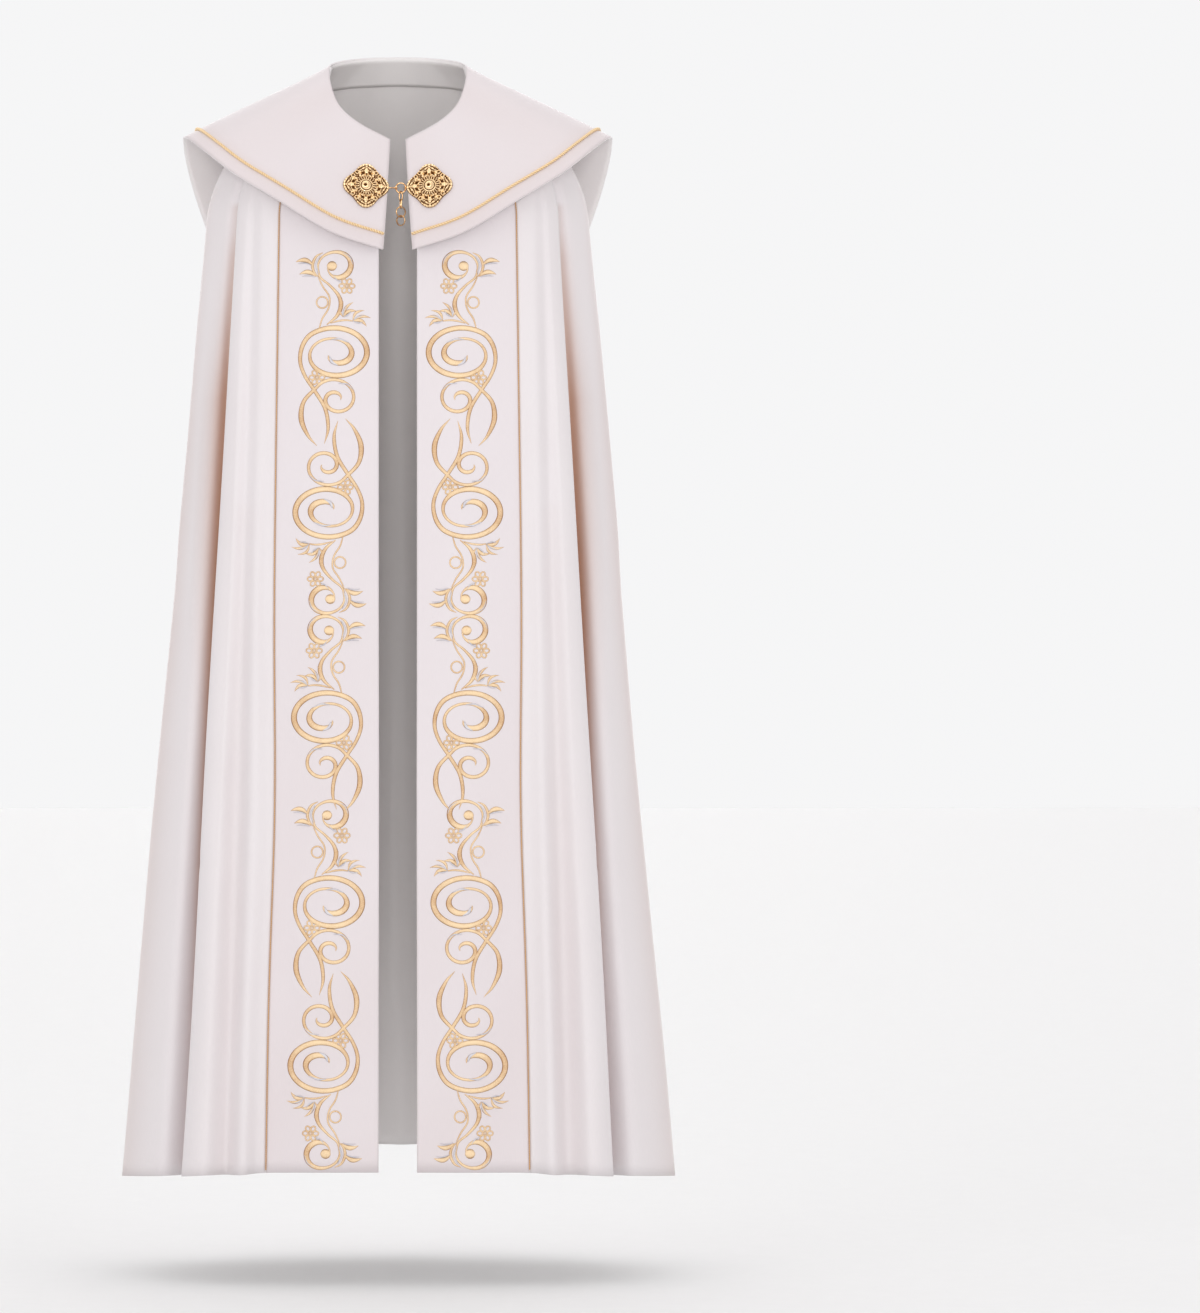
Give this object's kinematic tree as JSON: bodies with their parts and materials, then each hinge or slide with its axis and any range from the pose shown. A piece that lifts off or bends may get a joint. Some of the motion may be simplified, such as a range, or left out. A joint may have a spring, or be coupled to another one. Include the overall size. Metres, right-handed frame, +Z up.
{
  "type": "cope vestment",
  "caption": "Long cope worn open at the front, with a stiff shield-shaped hood, embroidered front bands, a metal clasp and a tassel at the back.",
  "frame": {"origin": "midway between the points where the neck meets the shoulders, where the wearer's shoulders carry the cope", "axes": "+Z up; the wearer looks along -Y; +X is the wearer's left"},
  "size_m": [0.738, 0.487, 1.5011],
  "materials": {
    "body_satin": "soft pearl satin",
    "band_satin": "stiffened pearl satin",
    "facing_satin": "pearl satin facing",
    "gold_thread": "gold satin-stitch thread",
    "silver_thread": "silver-grey satin-stitch thread",
    "gold_cord": "twisted gold cord",
    "bullion": "metallic bullion thread",
    "cast_gold": "antique gold plated casting"
  },
  "bodies": {
    "garment": {"back_panel": "body_satin", "side_panel_left": "body_satin", "side_panel_right": "body_satin", "back_side_left": "body_satin", "back_side_right": "body_satin", "shoulder_left": "body_satin", "shoulder_right": "body_satin", "shoulder_back": "body_satin", "front_panel_left": "body_satin", "front_panel_right": "body_satin", "orphrey_left": "band_satin", "orphrey_right": "band_satin", "neck_facing": "facing_satin", "hood": "band_satin", "hood_piping": "gold_cord", "orphrey_piping_left": "gold_cord", "orphrey_piping_right": "gold_cord", "clasp_plate_left": "cast_gold", "clasp_plate_right": "cast_gold", "clasp_hook": "cast_gold", "clasp_eye": "cast_gold", "clasp_ring": "cast_gold", "tassel_cord": "gold_cord", "tassel": "bullion"},
    "chain_end": {"chain_link_1": "cast_gold", "chain_link_2": "cast_gold", "chain_ring_1": "cast_gold", "chain_ring_2": "cast_gold"}
  },
  "joints": [
    {"name": "chain_swing", "type": "hinge", "parent": "garment", "child": "chain_end", "pos_m": [0.004, -0.122, -0.1735], "axis": [-1, 0, 0], "range_deg": [-5, 70]}
  ]
}
